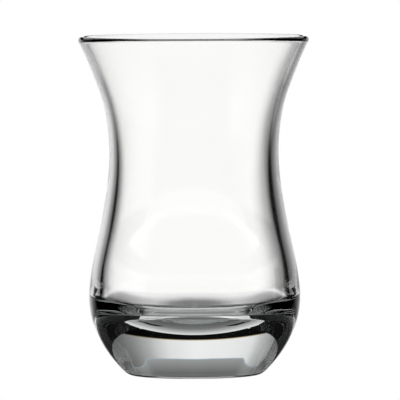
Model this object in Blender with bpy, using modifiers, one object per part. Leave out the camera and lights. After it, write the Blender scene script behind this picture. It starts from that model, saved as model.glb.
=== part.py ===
"""Turkish tea glass: an empty tulip-shaped drinking glass with a thick base, pressed in one piece.

Metres, +Z up. The origin is the middle of the underside, and the axis of the glass is +Z.
"""
from math import asin, ceil, cos, degrees, radians, sin, tan

import bpy
from mathutils import Vector
from mathutils.geometry import interpolate_bezier

MM = 0.001
COLLECTION_NAME = "turkish_tea_glass"

# Driving dimensions of the outside, in millimetres
HEIGHT = 88.0
LIP_RADIUS = 30.0
LIP_ROUND = 0.95
WAIST_RADIUS = 22.0
WAIST_HEIGHT = 57.9
BELLY_RADIUS = 27.45
BELLY_HEIGHT = 20.2
FOOT_RADIUS = 16.2

# Driving dimensions of the inside, in millimetres: its bottom is a nearly level ring round a dimple
BASE_THICKNESS = 14.45
DIMPLE_CURVE_RADIUS = 40.0
DIMPLE_RADIUS = 12.0
DIMPLE_EDGE = 0.7
RING_RADIUS = 21.2
RING_SLOPE = 3.0
CORNER_ROUND = 2.6
BORE_BELLY_RADIUS = 24.2
BORE_BELLY_HEIGHT = 22.9
BORE_WAIST_RADIUS = 19.8
BORE_WAIST_HEIGHT = 55.7

# Where the dimple, the ring and the two sides of the lip end
DIMPLE_SLOPE = degrees(asin(DIMPLE_RADIUS / DIMPLE_CURVE_RADIUS))
DIMPLE_HEIGHT = BASE_THICKNESS + DIMPLE_CURVE_RADIUS * (1.0 - cos(radians(DIMPLE_SLOPE)))
RING_INNER_RADIUS = DIMPLE_RADIUS + DIMPLE_EDGE
RING_INNER_HEIGHT = DIMPLE_HEIGHT + DIMPLE_EDGE * tan(radians(0.5 * (DIMPLE_SLOPE + RING_SLOPE)))
RING_OUTER_HEIGHT = RING_INNER_HEIGHT + (RING_RADIUS - RING_INNER_RADIUS) * tan(radians(RING_SLOPE))
LIP_CENTRE_RADIUS = LIP_RADIUS - LIP_ROUND
LIP_CENTRE_HEIGHT = HEIGHT - LIP_ROUND
OUTER_LIP_SLOPE = 63.0
INNER_LIP_SLOPE = 64.0

# A station is a radius, a height and the surface's slope in degrees: 0 is level, 90 is upright
OUTSIDE = (
    (FOOT_RADIUS, 0.0, 0.0),
    (19.0, 1.6, 46.0),
    (BELLY_RADIUS, BELLY_HEIGHT, 90.0),
    (24.6, 37.8, 101.4),
    (WAIST_RADIUS, WAIST_HEIGHT, 90.0),
    (24.85, 74.7, 69.5),
    (
        LIP_CENTRE_RADIUS + LIP_ROUND * sin(radians(OUTER_LIP_SLOPE)),
        LIP_CENTRE_HEIGHT - LIP_ROUND * cos(radians(OUTER_LIP_SLOPE)),
        OUTER_LIP_SLOPE,
    ),
)
INSIDE = (
    (0.0, BASE_THICKNESS, 0.0),
    (DIMPLE_RADIUS, DIMPLE_HEIGHT, DIMPLE_SLOPE),
    (RING_INNER_RADIUS, RING_INNER_HEIGHT, RING_SLOPE),
    (RING_RADIUS, RING_OUTER_HEIGHT, RING_SLOPE),
    (BORE_BELLY_RADIUS, RING_OUTER_HEIGHT + CORNER_ROUND, 90.0),
    (BORE_BELLY_RADIUS, BORE_BELLY_HEIGHT, 90.0),
    (21.75, 37.8, 102.0),
    (BORE_WAIST_RADIUS, BORE_WAIST_HEIGHT, 90.0),
    (22.85, 74.7, 71.0),
    (
        LIP_CENTRE_RADIUS - LIP_ROUND * sin(radians(INNER_LIP_SLOPE)),
        LIP_CENTRE_HEIGHT + LIP_ROUND * cos(radians(INNER_LIP_SLOPE)),
        INNER_LIP_SLOPE,
    ),
)

# How finely the outline and the turn are divided
LEAST_POINTS = 3
DEGREES_PER_POINT = 6.0
LIP_DEGREES_PER_POINT = 30.0
TURN_STEPS = 64
MERGE_DISTANCE = 0.00001

# Clear glass
GLASS_COLOUR = (0.95, 0.97, 0.96, 1.0)
GLASS_ROUGHNESS = 0.02
GLASS_INDEX = 1.52


def clear_scene():
    for item in list(bpy.data.objects):
        bpy.data.objects.remove(item)


def direction(slope):
    return Vector((cos(radians(slope)), 0.0, sin(radians(slope))))


def span_points(lower, upper):
    """Points of the arc-like curve from one station up to the next, without the last one."""
    start = Vector((lower[0], 0.0, lower[1]))
    end = Vector((upper[0], 0.0, upper[1]))
    turn = abs(upper[2] - lower[2])
    handle = (end - start).length / (3.0 * cos(radians(turn) / 4.0) ** 2)
    count = max(LEAST_POINTS, ceil(turn / DEGREES_PER_POINT))
    start_handle = start + handle * direction(lower[2])
    end_handle = end - handle * direction(upper[2])
    return interpolate_bezier(start, start_handle, end_handle, end, count + 1)[:-1]


def side_points(stations):
    """Points of one side of the wall, from the bottom up."""
    points = []
    for lower, upper in zip(stations, stations[1:]):
        points.extend(span_points(lower, upper))
    last = stations[-1]
    points.append(Vector((last[0], 0.0, last[1])))
    return points


def lip_points():
    """Points over the rounded lip between the two sides, from the inside out."""
    centre = Vector((LIP_CENTRE_RADIUS, 0.0, LIP_CENTRE_HEIGHT))
    start = INNER_LIP_SLOPE + 90.0
    end = OUTER_LIP_SLOPE - 90.0
    angle = LIP_DEGREES_PER_POINT * (ceil(start / LIP_DEGREES_PER_POINT) - 1)
    points = []
    while angle > end:
        points.append(centre + LIP_ROUND * direction(angle))
        angle -= LIP_DEGREES_PER_POINT
    return points


def profile_points():
    """The half section: up the inside, over the lip, down the outside and in along the underside."""
    inside = side_points(INSIDE)
    outside = side_points(OUTSIDE)
    outside.reverse()
    return inside + lip_points() + outside + [Vector((0.0, 0.0, 0.0))]


def glass_material():
    material = bpy.data.materials.new("clear_glass")
    material.use_nodes = True
    shader = material.node_tree.nodes["Principled BSDF"]
    shader.inputs["Base Color"].default_value = GLASS_COLOUR
    shader.inputs["Metallic"].default_value = 0.0
    shader.inputs["Roughness"].default_value = GLASS_ROUGHNESS
    shader.inputs["IOR"].default_value = GLASS_INDEX
    shader.inputs["Transmission Weight"].default_value = 1.0
    return material


def turned_glass(collection):
    points = [MM * point for point in profile_points()]
    edges = [(index, index + 1) for index in range(len(points) - 1)]
    mesh = bpy.data.meshes.new("glass")
    mesh.from_pydata(points, edges, [])
    mesh.materials.append(glass_material())
    glass = bpy.data.objects.new("glass", mesh)
    collection.objects.link(glass)
    turn = glass.modifiers.new("turn", "SCREW")
    turn.axis = "Z"
    turn.steps = TURN_STEPS
    turn.render_steps = TURN_STEPS
    turn.use_merge_vertices = True
    turn.merge_threshold = MERGE_DISTANCE
    turn.use_smooth_shade = True
    return glass


def main():
    clear_scene()
    collection = bpy.data.collections.new(COLLECTION_NAME)
    bpy.context.scene.collection.children.link(collection)
    turned_glass(collection)


main()
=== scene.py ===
"""Turkish tea glass: the looks of an empty tulip-shaped glass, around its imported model.

Metres, +Z up. The glass stands on its foot at the origin, and the camera looks along +Y.
"""
from math import asin, ceil, cos, degrees, exp, radians, sin, tan

import bmesh
import bpy
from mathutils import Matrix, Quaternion, Vector, noise
from mathutils.geometry import interpolate_bezier


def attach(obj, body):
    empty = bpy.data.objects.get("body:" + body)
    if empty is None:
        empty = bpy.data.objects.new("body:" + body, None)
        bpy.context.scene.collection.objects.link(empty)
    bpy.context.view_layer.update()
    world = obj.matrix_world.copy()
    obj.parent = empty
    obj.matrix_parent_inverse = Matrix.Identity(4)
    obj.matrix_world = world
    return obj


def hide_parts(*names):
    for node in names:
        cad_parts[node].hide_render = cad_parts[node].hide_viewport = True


MM = 0.001
WHITE = (1.0, 1.0, 1.0, 1.0)

# The glass's own dimensions, in millimetres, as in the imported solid
HEIGHT = 88.0
LIP_RADIUS = 30.0
LIP_ROUND = 0.95
WAIST_RADIUS = 22.0
WAIST_HEIGHT = 57.9
BELLY_RADIUS = 27.45
BELLY_HEIGHT = 20.2
FOOT_RADIUS = 16.2
BASE_THICKNESS = 14.45
DIMPLE_CURVE_RADIUS = 40.0
DIMPLE_RADIUS = 12.0
DIMPLE_EDGE = 0.7
RING_SLOPE = 3.0
BORE_BELLY_RADIUS = 24.2
BORE_BELLY_HEIGHT = 22.9
BORE_WAIST_RADIUS = 19.8
BORE_WAIST_HEIGHT = 55.7

DIMPLE_SLOPE = degrees(asin(DIMPLE_RADIUS / DIMPLE_CURVE_RADIUS))
DIMPLE_HEIGHT = BASE_THICKNESS + DIMPLE_CURVE_RADIUS * (1.0 - cos(radians(DIMPLE_SLOPE)))
RING_INNER_HEIGHT = DIMPLE_HEIGHT + DIMPLE_EDGE * tan(radians(0.5 * (DIMPLE_SLOPE + RING_SLOPE)))
RING_INNER_RADIUS = DIMPLE_RADIUS + DIMPLE_EDGE
LIP_CENTRE_RADIUS = LIP_RADIUS - LIP_ROUND
LIP_CENTRE_HEIGHT = HEIGHT - LIP_ROUND
OUTER_LIP_SLOPE = 63.0
INNER_LIP_SLOPE = 64.0

# The corner round the inside's bottom isn't the same all round: it is tightest on the far side.
# Each side gives the ring's outer radius, the corner's middle radius, height and slope, and its top
NEAR_CORNER = (20.6, 22.1, 17.2, 42.0, 19.3)
SIDE_CORNER = (20.6, 22.1, 17.4, 48.0, 20.9)
FAR_CORNER = (22.0, 23.54, 17.43, 46.5, 18.8)

# The near and far corners fade in from these cosines of the angle to the front and to the back
NEAR_START = 0.5
FAR_START = 0.4

# A station is a radius, a height and the surface's slope in degrees: 0 is level, 90 is upright
OUTSIDE = (
    (FOOT_RADIUS, 0.0, 0.0),
    (19.0, 1.6, 46.0),
    (BELLY_RADIUS, BELLY_HEIGHT, 90.0),
    (24.6, 37.8, 101.4),
    (WAIST_RADIUS, WAIST_HEIGHT, 90.0),
    (24.85, 74.7, 69.5),
    (
        LIP_CENTRE_RADIUS + LIP_ROUND * sin(radians(OUTER_LIP_SLOPE)),
        LIP_CENTRE_HEIGHT - LIP_ROUND * cos(radians(OUTER_LIP_SLOPE)),
        OUTER_LIP_SLOPE,
    ),
)
BOTTOM = (
    (0.0, BASE_THICKNESS, 0.0),
    (DIMPLE_RADIUS, DIMPLE_HEIGHT, DIMPLE_SLOPE),
    (RING_INNER_RADIUS, RING_INNER_HEIGHT, RING_SLOPE),
)
BORE = (
    (BORE_BELLY_RADIUS, BORE_BELLY_HEIGHT, 90.0),
    (21.75, 37.8, 102.0),
    (BORE_WAIST_RADIUS, BORE_WAIST_HEIGHT, 90.0),
    (22.85, 74.7, 71.0),
    (
        LIP_CENTRE_RADIUS - LIP_ROUND * sin(radians(INNER_LIP_SLOPE)),
        LIP_CENTRE_HEIGHT + LIP_ROUND * cos(radians(INNER_LIP_SLOPE)),
        INNER_LIP_SLOPE,
    ),
)

# How finely the outline and the turn are divided: points on the ring, in the corner and above it
RING_COUNT = 20
CORNER_COUNT = 24
ABOVE_COUNT = 10
POINT_SPACING = 0.5
DEGREES_PER_POINT = 2.0
LIP_POINTS = 16
TURN_STEPS = 256

# The ripples along the dimple's edge
RIPPLE = 0.03
RIPPLE_WIDTH = 1.3
RIPPLE_TURNS = 7.0
RIPPLE_ALONG = 0.5
FINE_RIPPLE = 0.5

# The glass, its slight waves, and the fine wear where it stands
GLASS_INDEX = 1.52
GLASS_TINT = (0.86, 0.90, 0.89, 1.0)
GLASS_DENSITY = 10.0
WAVE = 0.006
WAVE_SCALE = 120.0
WAVE_DETAIL = 2.0
WEAR = 0.25
WEAR_HEIGHT = 0.5
WEAR_SCALE = 1500.0
WEAR_DETAIL = 3.0

# The two bands round the glass, in millimetres, with the heights of the high one. Each shows only to
# light on its own path, which is the number of surfaces that the light has met
BAND_RADIUS = 40.5
BAND_STEPS = 128
HIGH_BAND = (42.0, 125.0)
HIGH_BAND_PATH = 2.0

# The low one, in millimetres, and in degrees to each side of the middle of each quarter: its pale
# strip, its tall part and its low part, with their levels
CARD_LOW = 0.0
CARD_HIGH = 30.0
CARD_PATH = 3.0
CARD_STRIP = 2.3
CARD_TALL = 12.0
CARD_WIDE = 30.0
CARD_WIDE_TOP = 18.4
CARD_LEVEL = 0.006
CARD_UP = (
    (0.0, 0.17),
    (2.0, 0.23),
    (4.0, 0.34),
    (7.0, 0.44),
    (9.5, 0.56),
    (13.0, 0.74),
    (15.0, 0.80),
    (19.0, 0.85),
    (20.0, 0.10),
    (30.0, 0.10),
)

# The camera, as the photograph frames the glass
IMAGE_SIDE = 400.0
CAMERA_DISTANCE = 1934.0
CAMERA_ELEVATION = 4.1
CAMERA_ROLL = 0.28
AIM_HEIGHT = 44.0
PIXELS_PER_MM = 3.85
AXIS_PIXEL = 194.25
BASE_PIXEL = 374.6
SENSOR = 36.0
CLIP_START = 0.01
CLIP_END = 100.0

# The wide floor that the camera sees, in metres, and the disc of floor, with painted shadow and painted
# light round the foot, that shows through the glass
FLOOR_RADIUS = 12.0
FLOOR_HEIGHT = -0.0002
DISC_RADIUS = 0.080
DISC_HEIGHT = -0.0001
DISC_STEPS = 128

# The disc's painted shadow round the foot, as its level by radius in millimetres, and its middle,
# painted white as light under the foot to light that has met two or four surfaces
PAINTED_SHADOW_OUT = (
    (0.0, 0.35),
    (16.0, 0.25),
    (20.0, 0.10),
    (34.0, 0.17),
    (44.0, 0.23),
    (50.0, 0.20),
    (54.0, 0.28),
    (58.0, 0.42),
    (62.0, 0.52),
    (65.0, 0.70),
    (68.0, 0.90),
    (72.0, 1.0),
)
UNDER_RADIUS = 15.5
UNDER_PAINTED_LIGHT = (0.85, 0.87, 0.87, 1.0)
TOP_PATH = 2.0
BOTTOM_PATH = 4.0

# The light round the glass, in degrees: four panels, one in each quarter turn, and their brightness
# across the quarter. The panel behind the glass is whole, and the others fade at their sides
QUARTER = 90.0
PANEL_ACROSS = (
    (-45.0, 0.006),
    (-42.5, 0.04),
    (-37.0, 0.28),
    (-32.0, 0.44),
    (-25.0, 0.80),
    (-17.0, 0.95),
    (-6.0, 1.0),
    (6.0, 0.93),
    (14.0, 0.72),
    (20.0, 0.50),
    (26.0, 0.34),
    (33.0, 0.21),
    (37.0, 0.14),
    (41.0, 0.03),
    (45.0, 0.006),
)
SIDE_PANEL_INNER = 28.0
SIDE_PANEL_OUTER = 34.0
PANEL_STRENGTH = 1.08

# Steps of the world's Ray Depth, which is one more than the number of surfaces that the light has met
ONE_WALL_PATH = 3.5
HOLLOW_PATH = 4.5
LONG_PATH = 5.5

# The panels' brightness across the quarter for light that has been through the hollow
HOLLOW_ACROSS = (
    (-45.0, 1.0),
    (-41.0, 1.0),
    (-38.0, 0.05),
    (-34.0, 0.06),
    (-30.0, 0.16),
    (-25.0, 0.38),
    (-21.0, 0.53),
    (-18.0, 0.67),
    (-15.0, 0.90),
    (-12.0, 1.0),
    (6.5, 1.0),
    (8.0, 0.90),
    (10.0, 0.71),
    (12.0, 0.53),
    (14.0, 0.45),
    (17.0, 0.37),
    (20.0, 0.30),
    (22.5, 0.15),
    (26.0, 0.03),
    (37.0, 0.02),
    (40.0, 1.0),
    (45.0, 1.0),
)
HOLLOW_STRENGTH = 1.05
WARM_WHITE = (1.0, 0.996, 0.985, 1.0)

# The light's colour by elevation, and the least brightness by elevation
LIGHT_LOW = 0.0
LIGHT_HIGH = 60.0
LIGHT_UP = (
    (7.0, (1.0, 1.0, 1.0)),
    (8.5, (0.004, 0.004, 0.004)),
    (15.1, (0.004, 0.004, 0.004)),
    (15.35, (0.62, 0.48, 0.25)),
    (15.7, (1.0, 1.0, 1.0)),
    (25.3, (1.0, 1.0, 1.0)),
    (25.7, (0.36, 0.45, 0.52)),
    (26.4, (0.33, 0.34, 0.34)),
    (30.0, (0.26, 0.26, 0.26)),
    (36.0, (0.14, 0.14, 0.14)),
    (42.0, (0.12, 0.12, 0.12)),
    (60.0, (0.25, 0.25, 0.25)),
)
SIDE_UP = (
    (-18.0, 1.0),
    (-15.0, 0.62),
    (-12.0, 0.40),
    (-10.0, 0.25),
    (-8.0, 0.09),
    (-6.0, 0.02),
    (-5.0, 0.0),
    (19.3, 0.0),
    (20.8, 0.09),
    (25.3, 0.10),
    (26.4, 0.30),
    (30.0, 0.42),
    (36.0, 0.85),
    (42.0, 1.0),
)
SIDE_LOW = -20.0

# The brightness across the panel behind the glass, higher up
UPPER_ACROSS = (
    (-45.0, 0.25),
    (-43.0, 0.28),
    (-38.0, 0.41),
    (-32.0, 0.55),
    (-27.0, 0.78),
    (-21.0, 0.84),
    (-12.0, 0.88),
    (0.0, 0.90),
    (11.0, 0.78),
    (17.0, 0.59),
    (21.0, 0.44),
    (28.0, 0.29),
    (33.0, 0.22),
    (38.0, 0.16),
    (45.0, 0.11),
)
UPPER_LOW = 11.0
UPPER_HIGH = 14.0

# How far the light's edges rise to the sides behind the glass
RISE = (
    (0.0, 0.0),
    (8.0, 0.0),
    (17.0, 0.11),
    (22.0, 0.19),
    (25.0, 0.25),
    (28.0, 0.50),
    (33.0, 0.80),
    (38.0, 0.95),
    (45.0, 1.0),
)
RISE_MOST = 12.0
RISE_LOW = 16.0
RISE_HIGH = 32.0

# The dim ceiling
CEILING_LOW = 25.2
CEILING_HIGH = 26.0
CEILING_ACROSS = (
    (-45.0, 0.45),
    (-38.0, 0.8),
    (-30.0, 1.0),
    (30.0, 1.0),
    (38.0, 0.8),
    (45.0, 0.45),
)

# Where the light dims. Mirrored light shows only what is behind the glass, and little of it low down.
# All light is dim steeply below, in front of the glass, and on long paths
MIRROR_LOW = -14.0
MIRROR_HIGH = -6.0
MIRROR_LEVEL = 0.05
STEEP_LOW = -45.0
STEEP_HIGH = -30.0
STEEP_LEVEL = 0.42
FRONT_START = 120.0
FRONT_END = 135.0
LONG_LOW = -60.0
LONG_HIGH = 60.0
LONG_UP = (
    (-60.0, 1.0),
    (-33.0, 1.0),
    (-27.0, 0.25),
    (-22.0, 0.0),
    (40.0, 0.0),
    (50.0, 0.45),
    (60.0, 0.45),
)

# The most times that light bounces, as it runs many times inside the thick base
BOUNCES = 32


def direction(slope):
    return Vector((cos(radians(slope)), 0.0, sin(radians(slope))))


def span_points(lower, upper, count=0):
    """Points of the arc-like curve from one station up to the next, without the last one."""
    start = Vector((lower[0], 0.0, lower[1]))
    end = Vector((upper[0], 0.0, upper[1]))
    turn = abs(upper[2] - lower[2])
    chord = (end - start).length
    handle = chord / (3.0 * cos(radians(turn) / 4.0) ** 2)
    count = count or ceil(max(turn / DEGREES_PER_POINT, chord / POINT_SPACING))
    start_handle = start + handle * direction(lower[2])
    end_handle = end - handle * direction(upper[2])
    return interpolate_bezier(start, start_handle, end_handle, end, count + 1)[:-1]


def side_points(stations):
    """Points of one side of the wall, from the bottom up."""
    points = []
    for lower, upper in zip(stations, stations[1:]):
        points.extend(span_points(lower, upper))
    last = stations[-1]
    points.append(Vector((last[0], 0.0, last[1])))
    return points


def corner_points(ring_radius, radius, height, slope, top):
    """Points from the ring's inner edge round one corner, up to where the bore starts."""
    ring_height = RING_INNER_HEIGHT + (ring_radius - RING_INNER_RADIUS) * tan(radians(RING_SLOPE))
    stations = (BOTTOM[-1], (ring_radius, ring_height, RING_SLOPE), (radius, height, slope))
    stations += ((BORE_BELLY_RADIUS, top, 90.0), BORE[0])
    counts = (RING_COUNT, CORNER_COUNT, CORNER_COUNT, ABOVE_COUNT)
    points = []
    for lower, upper, count in zip(stations, stations[1:], counts):
        points.extend(span_points(lower, upper, count))
    return points


def lip_points():
    """Points over the rounded lip between the two sides, from the inside out."""
    centre = Vector((LIP_CENTRE_RADIUS, 0.0, LIP_CENTRE_HEIGHT))
    start = INNER_LIP_SLOPE + 90.0
    end = OUTER_LIP_SLOPE - 90.0
    step = (start - end) / LIP_POINTS
    return [centre + LIP_ROUND * direction(start - step * index) for index in range(1, LIP_POINTS)]


def underside_points():
    """Points of the flat underside, from its edge in to near the middle."""
    count = ceil(FOOT_RADIUS / POINT_SPACING)
    return [Vector((FOOT_RADIUS * (1.0 - index / count), 0.0, 0.0)) for index in range(1, count)]


def outline_points(corner):
    """The half section with one corner: up the inside, over the lip and down to the underside."""
    outside = side_points(OUTSIDE)
    outside.reverse()
    inside = side_points(BOTTOM)[1:-1] + corner_points(*corner) + side_points(BORE)
    return inside + lip_points() + outside + underside_points()


def ripple(radius, angle):
    """How far the bottom rises: fine uneven ripples along the dimple's edge, fading to both sides."""
    place = RIPPLE_TURNS * Vector((sin(angle), cos(angle), 0.0))
    place.z = RIPPLE_ALONG * radius
    edge = exp(-(((radius - DIMPLE_RADIUS) / RIPPLE_WIDTH) ** 2))
    return RIPPLE * edge * (noise.noise(place) + FINE_RIPPLE * noise.noise(2.0 * place))


def ease(value, start):
    """A smooth step from 0 at the start to 1 at 1."""
    share = min(1.0, max(0.0, (value - start) / (1.0 - start)))
    return share * share * (3.0 - 2.0 * share)


def glass_mesh():
    """The fine turned glass, whose corner changes smoothly round the axis."""
    near, side, far = [outline_points(corner) for corner in (NEAR_CORNER, SIDE_CORNER, FAR_CORNER)]
    count = len(near)
    floor_count = len(side_points(BOTTOM)) - 2 + RING_COUNT
    points = [Vector((0.0, 0.0, BASE_THICKNESS)), Vector((0.0, 0.0, 0.0))]
    bottom_middle, underside_middle = range(len(points))
    first = len(points)
    faces = []
    for turn in range(TURN_STEPS):
        angle = radians(360.0 * turn / TURN_STEPS)
        near_share, far_share = ease(-cos(angle), NEAR_START), ease(cos(angle), FAR_START)
        for index in range(count):
            point = side[index].lerp(near[index], near_share).lerp(far[index], far_share)
            if index < floor_count:
                point.z += ripple(point.x, angle)
            points.append(Vector((-point.x * sin(angle), point.x * cos(angle), point.z)))
        here = first + turn * count
        there = first + (turn + 1) % TURN_STEPS * count
        faces.append((bottom_middle, here, there))
        for index in range(count - 1):
            faces.append((here + index, here + index + 1, there + index + 1, there + index))
        faces.append((underside_middle, there + count - 1, here + count - 1))
    mesh = bpy.data.meshes.new("tea_glass")
    mesh.from_pydata([MM * point for point in points], [], faces)
    mesh.shade_smooth()
    return mesh


def grey(levels):
    """Grey colour stops from plain levels."""
    return [(place, (level, level, level)) for place, level in levels]


class Nodes:
    """Adds and joins the nodes of one node tree."""

    def __init__(self, tree):
        self.tree = tree
        tree.nodes.clear()

    def add(self, kind, **settings):
        node = self.tree.nodes.new(kind)
        for name, value in settings.items():
            setattr(node, name, value)
        return node

    def put(self, value, socket):
        """Joins an output to a socket, or sets the socket to a plain value."""
        if isinstance(value, bpy.types.NodeSocket):
            self.tree.links.new(value, socket)
        else:
            socket.default_value = value

    def math(self, operation, *values):
        node = self.add("ShaderNodeMath", operation=operation)
        for value, socket in zip(values, node.inputs):
            self.put(value, socket)
        return node.outputs[0]

    def spread(self, value, low, high, start=0.0, end=1.0, smooth=False):
        """Maps the range from low to high onto the range from start to end."""
        node = self.add("ShaderNodeMapRange", interpolation_type="SMOOTHSTEP" if smooth else "LINEAR")
        for name, given in (
            ("Value", value),
            ("From Min", low),
            ("From Max", high),
            ("To Min", start),
            ("To Max", end),
        ):
            self.put(given, node.inputs[name])
        return node.outputs["Result"]

    def ramp(self, value, low, high, stops):
        """A colour for each value from low to high, by stops of (value, colour)."""
        node = self.add("ShaderNodeValToRGB")
        self.put(self.spread(value, low, high), node.inputs["Fac"])
        elements = node.color_ramp.elements
        elements.remove(elements[1])
        for index, (place, colour) in enumerate(stops):
            share = (place - low) / (high - low)
            element = elements.new(share) if index else elements[0]
            element.position = share
            element.color = (*colour, 1.0)
        return node.outputs["Color"]

    def mix(self, share, first, second, kind="Float"):
        """Mixes two plain numbers, or two colours where kind is Color."""
        node = self.add("ShaderNodeMix", data_type="FLOAT" if kind == "Float" else "RGBA")
        sockets = {socket.identifier: socket for socket in node.inputs}
        self.put(share, sockets["Factor_Float"])
        self.put(first, sockets["A_" + kind])
        self.put(second, sockets["B_" + kind])
        return next(socket for socket in node.outputs if socket.identifier == "Result_" + kind)

    def exactly(self, value, number):
        """1 where the whole value is this number, and otherwise 0."""
        return self.math("COMPARE", value, number, 0.5)

    def folded(self, across, ahead):
        """The direction round the glass in degrees, 0 at the back, and its place in its quarter turn."""
        azimuth = self.math("DEGREES", self.math("ARCTAN2", across, ahead))
        return azimuth, self.math("WRAP", azimuth, QUARTER / 2.0, -QUARTER / 2.0)

    def noise(self, place, scale, detail):
        node = self.add("ShaderNodeTexNoise")
        for name, given in (("Vector", place), ("Scale", scale), ("Detail", detail)):
            self.put(given, node.inputs[name])
        return node.outputs["Fac"]

    def show(self, shader, kind="ShaderNodeOutputMaterial"):
        output = self.add(kind)
        self.put(shader.outputs[0], output.inputs["Surface"])
        return output

    def show_where(self, there, shader):
        """Shows the shader where there is 1, and nothing where it is 0."""
        blend = self.add("ShaderNodeMixShader")
        clear = self.add("ShaderNodeBsdfTransparent")
        for value, socket in zip((there, clear.outputs[0], shader.outputs[0]), blend.inputs):
            self.put(value, socket)
        self.show(blend)


def new_material(name):
    material = bpy.data.materials.new(name)
    material.use_nodes = True
    return material, Nodes(material.node_tree)


def glass_material():
    """Clear glass with a faint tint in its depth, slight waves, and fine wear where it stands."""
    material, nodes = new_material("clear_glass")
    shader = nodes.add("ShaderNodeBsdfPrincipled")
    shader.inputs["Base Color"].default_value = WHITE
    shader.inputs["IOR"].default_value = GLASS_INDEX
    shader.inputs["Transmission Weight"].default_value = 1.0
    place = nodes.add("ShaderNodeTexCoord").outputs["Object"]
    height = nodes.add("ShaderNodeSeparateXYZ")
    nodes.put(place, height.inputs[0])
    worn = nodes.spread(height.outputs["Z"], 0.0, MM * WEAR_HEIGHT, WEAR, 0.0)
    grain = nodes.noise(place, WEAR_SCALE, WEAR_DETAIL)
    nodes.put(nodes.math("MULTIPLY", worn, grain), shader.inputs["Roughness"])
    bump = nodes.add("ShaderNodeBump")
    nodes.put(nodes.noise(place, WAVE_SCALE, WAVE_DETAIL), bump.inputs["Height"])
    bump.inputs["Strength"].default_value = 1.0
    bump.inputs["Distance"].default_value = MM * WAVE
    nodes.put(bump.outputs["Normal"], shader.inputs["Normal"])
    inside = nodes.add("ShaderNodeVolumeAbsorption")
    inside.inputs["Color"].default_value = GLASS_TINT
    inside.inputs["Density"].default_value = GLASS_DENSITY
    nodes.put(inside.outputs[0], nodes.show(shader).inputs["Volume"])
    return material


def add_glass():
    glass = bpy.data.objects.new("tea_glass", glass_mesh())
    bpy.context.scene.collection.objects.link(glass)
    glass.data.materials.append(glass_material())
    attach(glass, "root")
    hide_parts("glass")


def add_disc(name, radius, height, material):
    """A flat round piece of floor."""
    shape = bmesh.new()
    bmesh.ops.create_circle(shape, cap_ends=True, segments=DISC_STEPS, radius=radius)
    mesh = bpy.data.meshes.new(name)
    shape.to_mesh(mesh)
    shape.free()
    mesh.materials.append(material)
    disc = bpy.data.objects.new(name, mesh)
    disc.location.z = height
    bpy.context.scene.collection.objects.link(disc)
    return disc


def add_floor():
    """The wide white floor, as the camera sees it."""
    material, nodes = new_material("white_floor")
    nodes.show(nodes.add("ShaderNodeEmission"))
    floor = add_disc("floor", FLOOR_RADIUS, FLOOR_HEIGHT, material)
    floor.visible_diffuse = False
    floor.visible_glossy = False
    floor.visible_transmission = False
    floor.visible_shadow = False


def only_through_glass(item):
    """Shows the item only to light that comes through the glass."""
    item.visible_camera = False
    item.visible_diffuse = False
    item.visible_glossy = False
    item.visible_shadow = False


def add_painted_foot_shadow_and_light():
    """The floor round the foot, as it shows through the glass, with a painted shadow that is dim near
    the foot and bright further out, and painted white in its middle to light that has met two or four
    surfaces.
    """
    material, nodes = new_material("painted_light_and_shadow_near_foot")
    length = nodes.add("ShaderNodeVectorMath", operation="LENGTH")
    nodes.put(nodes.add("ShaderNodeTexCoord").outputs["Object"], length.inputs[0])
    radius = length.outputs["Value"]
    # The painted shadow round the foot, by radius
    stops = grey([(MM * place, level) for place, level in PAINTED_SHADOW_OUT])
    level = nodes.ramp(radius, 0.0, DISC_RADIUS, stops)
    # The painted light under the foot, white to light that has met two or four surfaces
    depth = nodes.add("ShaderNodeLightPath").outputs["Ray Depth"]
    path = nodes.math("MAXIMUM", nodes.exactly(depth, TOP_PATH), nodes.exactly(depth, BOTTOM_PATH))
    under = nodes.math("MULTIPLY", nodes.math("LESS_THAN", radius, MM * UNDER_RADIUS), path)
    light = nodes.add("ShaderNodeEmission")
    nodes.put(nodes.mix(under, level, UNDER_PAINTED_LIGHT, "Color"), light.inputs["Color"])
    nodes.show(light)
    only_through_glass(add_disc("painted_light_and_shadow_near_foot", DISC_RADIUS, DISC_HEIGHT, material))


def add_band(name, low, high, material):
    """A round band about the glass from one height to another."""
    shape = bmesh.new()
    rings = []
    for height in (low, high):
        ring = []
        for step in range(BAND_STEPS):
            angle = radians(360.0 * step / BAND_STEPS)
            place = Vector((BAND_RADIUS * sin(angle), BAND_RADIUS * cos(angle), height))
            ring.append(shape.verts.new(MM * place))
        rings.append(ring)
    for step in range(BAND_STEPS):
        after = (step + 1) % BAND_STEPS
        shape.faces.new((rings[0][step], rings[0][after], rings[1][after], rings[1][step]))
    mesh = bpy.data.meshes.new(name)
    shape.to_mesh(mesh)
    shape.free()
    mesh.materials.append(material)
    band = bpy.data.objects.new(name, mesh)
    bpy.context.scene.collection.objects.link(band)
    only_through_glass(band)


def add_card():
    """A low dark band with four pale strips, for light that has met three surfaces."""
    material, nodes = new_material("low_card")
    place = nodes.add("ShaderNodeSeparateXYZ")
    nodes.put(nodes.add("ShaderNodeTexCoord").outputs["Object"], place.inputs[0])
    across, ahead, up = place.outputs
    folded = nodes.folded(across, ahead)[1]
    reaches = (CARD_STRIP, CARD_TALL, CARD_WIDE)
    strip, tall, wide = [nodes.math("COMPARE", folded, 0.0, reach) for reach in reaches]
    stops = grey([(MM * z, level) for z, level in CARD_UP])
    pale = nodes.ramp(up, MM * CARD_LOW, MM * CARD_HIGH, stops)
    glowing = nodes.add("ShaderNodeEmission")
    nodes.put(nodes.mix(strip, CARD_LEVEL, pale), glowing.inputs["Strength"])
    low = nodes.math("MULTIPLY", wide, nodes.math("LESS_THAN", up, MM * CARD_WIDE_TOP))
    path = nodes.exactly(nodes.add("ShaderNodeLightPath").outputs["Ray Depth"], CARD_PATH)
    nodes.show_where(nodes.math("MULTIPLY", nodes.math("MAXIMUM", tall, low), path), glowing)
    add_band("low_card", CARD_LOW, CARD_HIGH, material)


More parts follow.
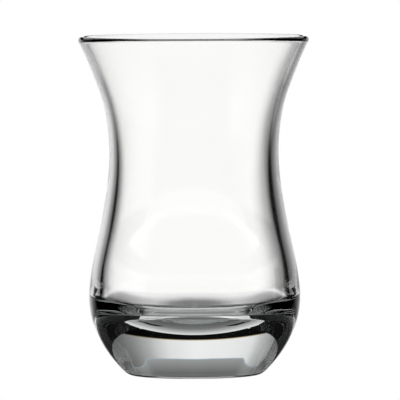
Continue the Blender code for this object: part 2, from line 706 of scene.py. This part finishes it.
def add_high_band():
    """A white band from the glass's middle to over its rim, for light that has met two surfaces."""
    material, nodes = new_material("high_band")
    path = nodes.exactly(nodes.add("ShaderNodeLightPath").outputs["Ray Depth"], HIGH_BAND_PATH)
    nodes.show_where(path, nodes.add("ShaderNodeEmission"))
    add_band("high_band", *HIGH_BAND, material)


class Sky(Nodes):
    """The light round the glass, by direction and by the way that the light has come."""

    def __init__(self, tree):
        super().__init__(tree)
        way = self.add("ShaderNodeSeparateXYZ")
        self.put(self.add("ShaderNodeTexCoord").outputs["Generated"], way.inputs[0])
        across, ahead, up = way.outputs
        self.azimuth, self.place = self.folded(across, ahead)
        self.turned = self.math("ABSOLUTE", self.azimuth)
        self.elevation = self.math("DEGREES", self.math("ARCSINE", up))
        self.behind = self.math("COMPARE", self.azimuth, 0.0, QUARTER / 2.0)
        self.lowered = self.lowered_elevation()
        rays = self.add("ShaderNodeLightPath")
        depth = rays.outputs["Ray Depth"]
        self.one_wall = self.math("LESS_THAN", depth, ONE_WALL_PATH)
        self.hollow = self.math("GREATER_THAN", depth, HOLLOW_PATH)
        self.long = self.math("GREATER_THAN", depth, LONG_PATH)
        self.passed = rays.outputs["Is Transmission Ray"]
        self.from_camera = rays.outputs["Is Camera Ray"]

    def lowered_elevation(self):
        """The elevation, less to the sides behind the glass, so that the light's edges rise there."""
        rise = self.ramp(self.turned, 0.0, QUARTER / 2.0, grey(RISE))
        rise = self.math("MULTIPLY", rise, self.math("MULTIPLY", self.behind, RISE_MOST))
        raised = self.math("MULTIPLY", rise, self.spread(self.elevation, RISE_LOW, RISE_HIGH))
        return self.math("SUBTRACT", self.elevation, raised)

    def across(self, levels):
        """The brightness at each place across the quarter turn."""
        return self.ramp(self.place, -QUARTER / 2.0, QUARTER / 2.0, grey(levels))

    def brightness(self):
        """How bright the panels, the ceiling over them and the least light are."""
        aside = self.math("ABSOLUTE", self.place)
        edge = self.spread(aside, SIDE_PANEL_INNER, SIDE_PANEL_OUTER, 1.0, 0.0)
        reach = self.math("MAXIMUM", self.math("MAXIMUM", self.behind, self.hollow), edge)
        panel = self.math("MULTIPLY", self.across(PANEL_ACROSS), reach)
        bright = self.math("MULTIPLY", self.across(HOLLOW_ACROSS), HOLLOW_STRENGTH)
        panel = self.mix(self.hollow, panel, bright)
        upper = self.math("MULTIPLY", self.spread(self.elevation, UPPER_LOW, UPPER_HIGH), self.behind)
        panel = self.mix(upper, panel, self.across(UPPER_ACROSS))
        ceiling = self.math("MULTIPLY", self.across(CEILING_ACROSS), reach)
        above = self.spread(self.lowered, CEILING_LOW, CEILING_HIGH, smooth=True)
        above = self.math("MULTIPLY", above, self.math("SUBTRACT", 1.0, self.hollow))
        least = self.ramp(self.lowered, SIDE_LOW, LIGHT_HIGH, grey(SIDE_UP))
        return self.math("MAXIMUM", self.mix(above, panel, ceiling), least)

    def share_seen(self):
        """How much of that brightness shows, by the way that the light has come."""
        mirrored = self.spread(self.elevation, MIRROR_LOW, MIRROR_HIGH, MIRROR_LEVEL, 1.0)
        seen = self.math("MAXIMUM", self.math("MULTIPLY", self.behind, mirrored), self.passed)
        steep = self.spread(self.elevation, STEEP_LOW, STEEP_HIGH, STEEP_LEVEL, 1.0)
        front = self.spread(self.turned, FRONT_START, FRONT_END, 1.0, 0.0)
        dimmed = self.math("MULTIPLY", steep, self.math("MAXIMUM", front, self.one_wall))
        dimmed = self.mix(self.hollow, dimmed, 1.0)
        long_way = self.ramp(self.elevation, LONG_LOW, LONG_HIGH, grey(LONG_UP))
        return self.math("MULTIPLY", seen, self.mix(self.long, dimmed, long_way))

    def colour(self):
        colour = self.ramp(self.lowered, LIGHT_LOW, LIGHT_HIGH, LIGHT_UP)
        return self.mix(self.hollow, colour, WARM_WHITE, "Color")


def add_light():
    """The light round the glass, which is a plain white background to the camera."""
    world = bpy.data.worlds.new("studio")
    bpy.context.scene.world = world
    world.use_nodes = True
    sky = Sky(world.node_tree)
    level = sky.math("MULTIPLY", sky.brightness(), sky.share_seen())
    level = sky.math("MULTIPLY", level, PANEL_STRENGTH)
    light = sky.add("ShaderNodeBackground")
    sky.put(sky.mix(sky.from_camera, sky.colour(), WHITE, "Color"), light.inputs["Color"])
    sky.put(sky.math("MAXIMUM", level, sky.from_camera), light.inputs["Strength"])
    sky.show(light, "ShaderNodeOutputWorld")


def add_camera():
    """The camera, a little above the rim, with the lens and the shift that frame the glass."""
    elevation = radians(CAMERA_ELEVATION)
    place = MM * CAMERA_DISTANCE * Vector((0.0, -cos(elevation), sin(elevation)))
    aim = MM * Vector((0.0, 0.0, AIM_HEIGHT))
    look = (aim - place).to_track_quat("-Z", "Y")
    data = bpy.data.cameras.new("camera")
    camera = bpy.data.objects.new("camera", data)
    bpy.context.scene.collection.objects.link(camera)
    camera.location = place
    camera.rotation_mode = "QUATERNION"
    camera.rotation_quaternion = look @ Quaternion((0.0, 0.0, 1.0), radians(-CAMERA_ROLL))
    distance = (aim - place).length / MM
    aim_elevation = asin((place - aim).normalized().z)
    aim_pixel = BASE_PIXEL - AIM_HEIGHT * PIXELS_PER_MM * cos(aim_elevation)
    data.sensor_width = SENSOR
    data.lens = SENSOR * PIXELS_PER_MM * distance / IMAGE_SIDE
    data.shift_x = (IMAGE_SIDE / 2.0 - AXIS_PIXEL) / IMAGE_SIDE
    data.shift_y = (aim_pixel - IMAGE_SIDE / 2.0) / IMAGE_SIDE
    data.clip_start = CLIP_START
    data.clip_end = CLIP_END
    bpy.context.scene.camera = camera


def set_rays():
    """Many bounces, light that is neither blurred nor clamped, and colours shown as they are."""
    scene = bpy.context.scene
    scene.view_settings.view_transform = "Standard"
    scene.cycles.max_bounces = BOUNCES
    scene.cycles.transmission_bounces = BOUNCES
    scene.cycles.glossy_bounces = BOUNCES
    scene.cycles.caustics_reflective = True
    scene.cycles.caustics_refractive = True
    scene.cycles.blur_glossy = 0.0
    scene.cycles.sample_clamp_indirect = 0.0


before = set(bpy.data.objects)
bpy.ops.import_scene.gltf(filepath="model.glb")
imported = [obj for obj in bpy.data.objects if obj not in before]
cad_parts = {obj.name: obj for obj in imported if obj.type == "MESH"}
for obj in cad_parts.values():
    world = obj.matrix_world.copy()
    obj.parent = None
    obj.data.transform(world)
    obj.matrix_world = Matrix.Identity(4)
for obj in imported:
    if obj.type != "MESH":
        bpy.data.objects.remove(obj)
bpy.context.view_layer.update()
add_glass()
add_floor()
add_painted_foot_shadow_and_light()
add_card()
add_high_band()
add_light()
add_camera()
set_rays()
